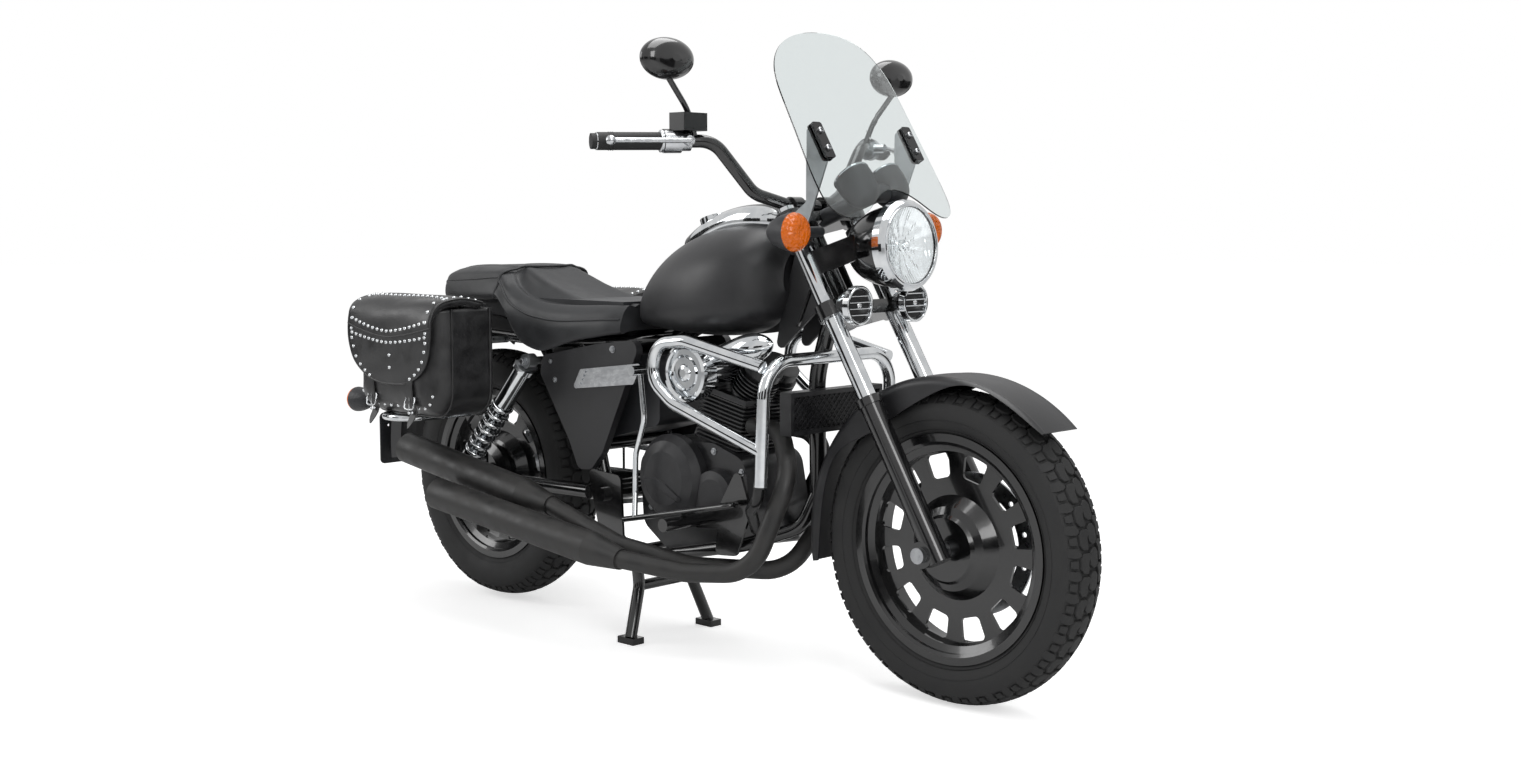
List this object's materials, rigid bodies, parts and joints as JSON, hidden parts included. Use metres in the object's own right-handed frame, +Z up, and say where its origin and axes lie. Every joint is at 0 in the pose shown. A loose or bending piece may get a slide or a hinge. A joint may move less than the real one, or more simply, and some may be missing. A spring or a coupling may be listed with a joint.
{
  "type": "cruiser motorcycle",
  "caption": "Cruiser motorcycle with windscreen, engine guard bars, two hard leather saddlebags and an open engine, parked upright on its centre stand.",
  "frame": {"origin": "centre of the machine's box on the ground", "axes": "+X to the front wheel, +Y to the rider's left, +Z up"},
  "size_m": [2.07, 0.8754, 1.2767],
  "materials": {
    "painted_frame": "gloss black powder coat",
    "satin_paint": "satin black paint",
    "gloss_paint": "gloss black paint",
    "chrome": "chromed steel",
    "steel": "zinc plated steel",
    "alloy": "cast and polished aluminium",
    "engine_black": "black coated cast aluminium",
    "exhaust_black": "heat proof satin black",
    "tyre": "vulcanised rubber",
    "rubber": "moulded rubber",
    "black_plastic": "moulded ABS",
    "leather": "black saddle leather",
    "seat_cover": "stitched vinyl",
    "clear": "clear acrylic",
    "lamp_glass": "moulded lamp glass",
    "amber": "amber lens",
    "red_lens": "red lens"
  },
  "bodies": {
    "frame": {"frame_tubes": "painted_frame", "swingarm": "painted_frame", "pivot_plates": "painted_frame", "rear_axle": "steel", "rear_brake": "engine_black", "shocks": "chrome", "crankcase": "engine_black", "engine_covers": "engine_black", "cylinders": "engine_black", "air_box": "black_plastic", "air_cleaner": "chrome", "exhausts": "exhaust_black", "fuel_tank": "satin_paint", "console": "chrome", "rear_fender": "satin_paint", "seat": "seat_cover", "side_covers": "black_plastic", "vent_plates": "alloy", "tail_lamp": "red_lens", "plate_holder": "black_plastic", "rear_indicators": "amber", "saddlebags": "leather", "bag_carriers": "steel", "guard_rails": "chrome", "cooler": "black_plastic", "footrests": "painted_frame", "brake_lever": "chrome", "chain": "steel", "chain_guard": "painted_frame"},
    "fork": {"fork_legs": "gloss_paint", "stanchions": "chrome", "front_axle": "steel", "yokes": "gloss_paint", "front_fender": "satin_paint", "handlebar": "gloss_paint", "grips": "rubber", "mirrors": "black_plastic", "controls": "alloy", "headlamp_shell": "gloss_paint", "headlamp_bezel": "chrome", "headlamp_lens": "lamp_glass", "front_indicators": "black_plastic", "front_indicator_lenses": "amber", "horns": "chrome", "gauges": "black_plastic", "windscreen": "clear", "screen_mounts": "alloy", "front_caliper": "engine_black"},
    "front_wheel": {"front_tyre": "tyre", "front_wheel_disc": "gloss_paint", "front_brake_disc": "steel"},
    "rear_wheel": {"rear_tyre": "tyre", "rear_wheel_disc": "gloss_paint", "rear_sprocket": "steel"},
    "centre_stand": {"centre_stand": "painted_frame"},
    "side_stand": {"side_stand": "painted_frame"},
    "lid_right": {"bag_lid_right": "leather"},
    "lid_left": {"bag_lid_left": "leather"}
  },
  "joints": [
    {"name": "steering", "type": "hinge", "parent": "frame", "child": "fork", "pos_m": [0.40388, 0, 0.79939], "axis": [-0.515, 0, 0.8572], "range_deg": [-33, 33]},
    {"name": "front_wheel_spin", "type": "hinge", "parent": "fork", "child": "front_wheel", "pos_m": [0.73605, 0, 0.299], "axis": [0, 1, 0], "continuous": true},
    {"name": "rear_wheel_spin", "type": "hinge", "parent": "frame", "child": "rear_wheel", "pos_m": [-0.62895, 0, 0.305], "axis": [0, 1, 0], "continuous": true},
    {"name": "centre_stand_fold", "type": "hinge", "parent": "frame", "child": "centre_stand", "pos_m": [-0.08095, 0, 0.196], "axis": [0, 1, 0], "range_deg": [0, 76]},
    {"name": "side_stand_swing", "type": "hinge", "parent": "frame", "child": "side_stand", "pos_m": [0.07105, 0.145, 0.215], "axis": [0, -0.9781, -0.2079], "range_deg": [0, 92]},
    {"name": "lid_right_hinge", "type": "hinge", "parent": "frame", "child": "lid_right", "pos_m": [-0.57295, -0.208, 0.7204], "axis": [-1, 0, 0], "range_deg": [0, 95]},
    {"name": "lid_left_hinge", "type": "hinge", "parent": "frame", "child": "lid_left", "pos_m": [-0.57295, 0.208, 0.7204], "axis": [1, 0, 0], "range_deg": [0, 95]}
  ]
}
